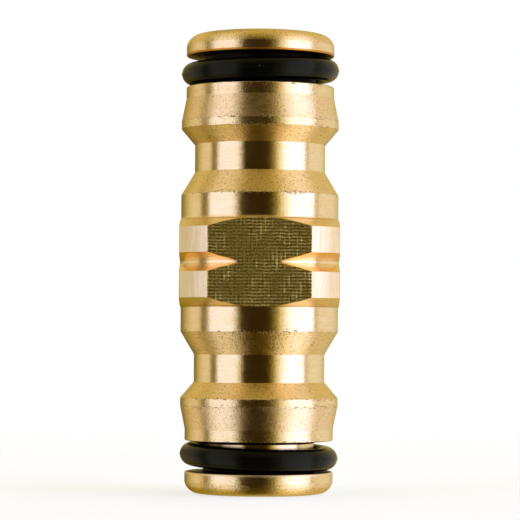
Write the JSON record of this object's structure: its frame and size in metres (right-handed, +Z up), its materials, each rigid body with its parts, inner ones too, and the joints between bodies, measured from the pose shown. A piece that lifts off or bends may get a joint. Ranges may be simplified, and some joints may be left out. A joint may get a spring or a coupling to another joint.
{
  "type": "two-way garden hose connector nipple",
  "caption": "Turned brass double-ended quick-connect nipple with wrench flats, latch necks and a rubber O-ring in a groove near each end, joining two push-on garden hose connectors.",
  "frame": {"origin": "centre of the lower end face, on the axis of the water bore", "axes": "+Z up along the water bore towards the upper end; -Y is the outward normal of the front wrench flat and +X of the right one"},
  "size_m": [0.017, 0.017, 0.0492],
  "materials": {
    "brass": "machined, with fine turning marks; milled flats and drawn bar skin at the wrench section",
    "rubber": "moulded black rubber, satin, with a parting line around its outside"
  },
  "bodies": {
    "root": {"brass_body": "brass", "upper_o_ring": "rubber", "lower_o_ring": "rubber"}
  },
  "joints": []
}
